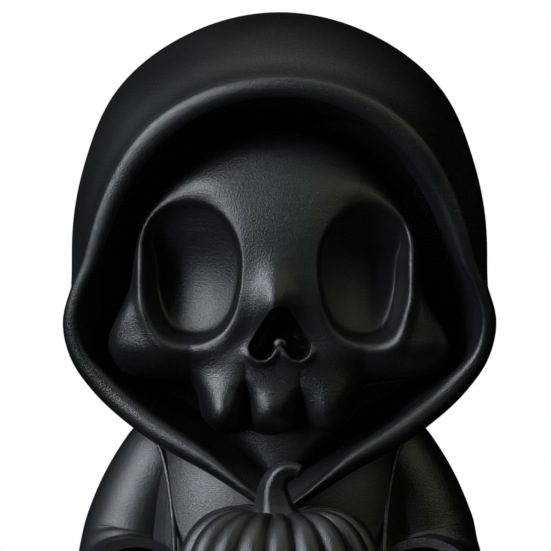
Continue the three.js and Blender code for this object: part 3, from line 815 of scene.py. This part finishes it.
def makeFigure():
    figure = skin("reaper_figurine_cast", robePoints())
    combine(figure, skin("base", basePoints()), "UNION")
    for side in (-1, 1):
        arm = skin("sleeve", sleevePoints(side))
        combine(arm, skin("cuff", cuffHollow(side)), "DIFFERENCE")
        combine(figure, arm, "UNION")
    seams = [skin("seam", seamPoints(figure, side)) for side in (-1, 1)]
    combine(figure, skin("hollow", hollowPoints()), "DIFFERENCE")
    print("robe, sleeves and base joined")
    combine(figure, skin("hood", hoodPoints()), "UNION")
    combine(figure, skin("neck", neckPoints()), "UNION")
    combine(figure, makeSkull(), "UNION")
    print("hood, neck and skull joined")
    for ridge in seams:
        combine(figure, ridge, "UNION")
    combine(figure, skin("pumpkin", pumpkinPoints()), "UNION")
    combine(figure, skin("stem", stemPoints()), "UNION")
    for side in (-1, 1):
        combine(figure, makeHand(side), "UNION")
    print("pumpkin and hands joined")
    return figure


def smoothOut(data):
    # edges are sharp where faces meet steeply, but not on the rims of the eyes, which are cast round
    data.polygons.foreach_set("use_smooth", [True] * len(data.polygons))
    data.set_sharp_from_angle(angle=sharpAngle * degree)
    ends, spots = np.zeros(len(data.edges) * 2, int), np.zeros(len(data.vertices) * 3)
    data.edges.foreach_get("vertices", ends)
    data.vertices.foreach_get("co", spots)
    x, y, z = spots.reshape(-1, 3)[ends].reshape(-1, 2, 3).mean(1).T / mm
    away, up = (np.abs(x) - socket["castX"]) / socket["castWide"], (z - socket["z"]) / socket["castHigh"]
    onEye = (np.hypot(away, up) < 1) & (y < socket["castFront"])
    sharp = np.zeros(len(data.edges), bool)
    data.attributes["sharp_edge"].data.foreach_get("value", sharp)
    data.attributes["sharp_edge"].data.foreach_set("value", sharp & ~onEye)
    data.update()
    print("figure:", sum(len(p.vertices) - 2 for p in data.polygons), "triangles")


# finish


class Wire:
    # an output socket that takes part in sums, so that shader maths reads as plain Python
    def __init__(self, tree, out):
        self.tree = tree
        self.out = out

    def node(self, kind, values, out=0, **settings):
        made = self.tree.nodes.new(kind)
        for name, value in settings.items():
            setattr(made, name, value)
        for name, value in values.items():
            if isinstance(value, Wire):
                self.tree.links.new(value.out, made.inputs[name])
            else:
                made.inputs[name].default_value = value
        return Wire(self.tree, made.outputs[out])

    def surface(self):
        output = self.tree.nodes.new("ShaderNodeOutputMaterial")
        self.tree.links.new(self.out, output.inputs["Surface"])

    def maths(self, operation, other, swap=False):
        pair = (other, self) if swap else (self, other)
        return self.node("ShaderNodeMath", {0: pair[0], 1: pair[1]}, operation=operation)

    def __add__(self, other):
        return self.maths("ADD", other)

    def __radd__(self, other):
        return self.maths("ADD", other)

    def __sub__(self, other):
        return self.maths("SUBTRACT", other)

    def __rsub__(self, other):
        return self.maths("SUBTRACT", other, True)

    def __mul__(self, other):
        return self.maths("MULTIPLY", other)

    def __rmul__(self, other):
        return self.maths("MULTIPLY", other)


def emptyMaterial(name):
    # a material without nodes, and the wire that its first node is made from
    material = bpy.data.materials.new(name)
    material.use_nodes = True
    material.node_tree.nodes.clear()
    return material, Wire(material.node_tree, None)


plastic = dict(
    dark=(0.0005, 0.0005, 0.0006, 1), light=(0.0065, 0.0065, 0.0071, 1), rough=0.35, roughSpread=0.08,
    speckle=1.8, cloud=60.0, specular=0.5, grain=3800.0, grainBump=0.0001, streak=(90, 90, 1500),
    streakBump=0.00003,
)


def makePlastic():
    # fine grain and faint layer lines in the relief; grain and broad clouds in the colour and gloss
    material, start = emptyMaterial("black_cast_plastic")
    place = start.node("ShaderNodeTexCoord", {}, "Object")
    grain = place.node("ShaderNodeTexNoise", {"Vector": place, "Scale": plastic["grain"], "Detail": 3.0,
                                              "Roughness": 0.6})
    cloud = place.node("ShaderNodeTexNoise", {"Vector": place, "Scale": plastic["cloud"], "Detail": 3.0})
    speckle = (grain - 0.5) * plastic["speckle"] + cloud
    colour = place.node("ShaderNodeMix", {"Factor": speckle, "A": plastic["dark"],
                                          "B": plastic["light"]}, 2, data_type="RGBA")
    rough = plastic["rough"] + (speckle - 0.5) * plastic["roughSpread"]
    drawn = place.node("ShaderNodeMapping", {"Vector": place, "Scale": plastic["streak"]})
    streak = place.node("ShaderNodeTexNoise", {"Vector": drawn, "Scale": 1.0, "Detail": 2.0})
    relief = grain + streak * (plastic["streakBump"] / plastic["grainBump"])
    bump = place.node("ShaderNodeBump", {"Height": relief, "Strength": 1.0, "Distance": plastic["grainBump"]})
    place.node("ShaderNodeBsdfPrincipled", {"Base Color": colour, "Roughness": rough, "Normal": bump,
                                            "Specular IOR Level": plastic["specular"]}).surface()
    return material


# studio

studio = dict(
    world=0.003, around=96, aim=(0, 0, 90), backdrop=4000.0, backdropRows=25,
    floorRadius=170.0, floorFade=100.0, floorRings=7, floorColour=(0.85, 0.85, 0.85, 1),
    # name: degrees to the right and degrees up, distance, width, height, strength and colour,
    # in millimetres and watts
    lamps=dict(
        key=(-51, 20, 800, 300, 560, 11.2, (0.97, 1.0, 1.07)),
        front=(-40, 32, 800, 240, 300, 0.9, (0.97, 1.0, 1.07)),
        top=(-10, 82, 800, 900, 600, 2.8, (0.99, 1.0, 0.98)),
        side=(-105, 30, 800, 200, 400, 0.4, (0.95, 1.0, 1.08)),
        fill=(48, 30, 800, 300, 500, 1.1, (0.93, 1.0, 0.72)),
    ),
)


def makeWorld():
    world = bpy.data.worlds.new("studio")
    world.use_nodes = True
    world.node_tree.nodes["Background"].inputs["Strength"].default_value = studio["world"]
    scene.world = world
    scene.view_settings.view_transform = "Standard"


def makeFloor():
    # a flat disc of rings round a middle point, whose matte grey fades out towards its border
    around, rings = studio["around"], studio["floorRings"]
    turn = fullTurn(around)
    r = np.linspace(0, studio["floorRadius"], rings + 1)[1:, None]
    ring = np.stack([r * np.cos(turn), r * np.sin(turn), 0 * r * turn], -1)
    verts = np.concatenate([[[0, 0, 0]], ring.reshape(-1, 3)]) * mm
    here = np.arange(around)
    after = (here + 1) % around
    faces = np.stack([0 * here, 1 + here, 1 + after], -1).tolist()
    for k in range(rings - 1):
        inner, outer = 1 + k * around, 1 + (k + 1) * around
        faces += np.stack([inner + here, outer + here, outer + after, inner + after], -1).tolist()
    data = bpy.data.meshes.new("floor")
    data.from_pydata(verts.tolist(), [], faces)
    floor = bpy.data.objects.new("floor", data)
    scene.collection.objects.link(floor)

    material, start = emptyMaterial("pale_floor")
    place = start.node("ShaderNodeTexCoord", {}, "Object")
    far = place.node("ShaderNodeVectorMath", {0: place}, "Value", operation="LENGTH")
    fade = place.node("ShaderNodeMapRange", {"Value": far, "From Min": studio["floorFade"] * mm,
                                             "From Max": studio["floorRadius"] * mm},
                      interpolation_type="SMOOTHSTEP")
    matte = place.node("ShaderNodeBsdfDiffuse", {"Color": studio["floorColour"]})
    clear = place.node("ShaderNodeBsdfTransparent", {})
    place.node("ShaderNodeMixShader", {"Fac": fade, 1: matte, 2: clear}).surface()
    data.materials.append(material)
    floor.visible_glossy = False
    return floor


def makeBackdrop():
    # a white ball round everything, which only the camera sees
    turn = fullTurn(studio["around"])
    rise = np.linspace(0, math.pi, studio["backdropRows"])[:, None]
    ball = np.stack([np.sin(rise) * np.cos(turn), np.sin(rise) * np.sin(turn), np.cos(rise) + 0 * turn], -1)
    dome = skin("backdrop", studio["backdrop"] * ball)
    material, start = emptyMaterial("white_backdrop")
    start.node("ShaderNodeEmission", {"Strength": 1.0}).surface()
    dome.data.materials.append(material)
    for ray in ("visible_diffuse", "visible_glossy", "visible_transmission", "visible_volume_scatter",
                "visible_shadow"):
        setattr(dome, ray, False)
    return dome


def makeLamps():
    for name, (right, up, distance, wide, high, strength, colour) in studio["lamps"].items():
        lamp = bpy.data.lights.new(name, "AREA")
        lamp.shape = "RECTANGLE"
        lamp.size = wide * mm
        lamp.size_y = high * mm
        lamp.energy = strength
        lamp.color = colour
        lookingAt(name, lamp, studio["aim"], right, up, distance)


figure = makeFigure()
smoothOut(figure.data)
figure.data.materials.clear()
figure.data.materials.append(makePlastic())
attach(figure, "root")
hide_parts("reaper_figurine")
makeWorld()
floor = makeFloor()
dome = makeBackdrop()
makeLamps()
print("studio set")
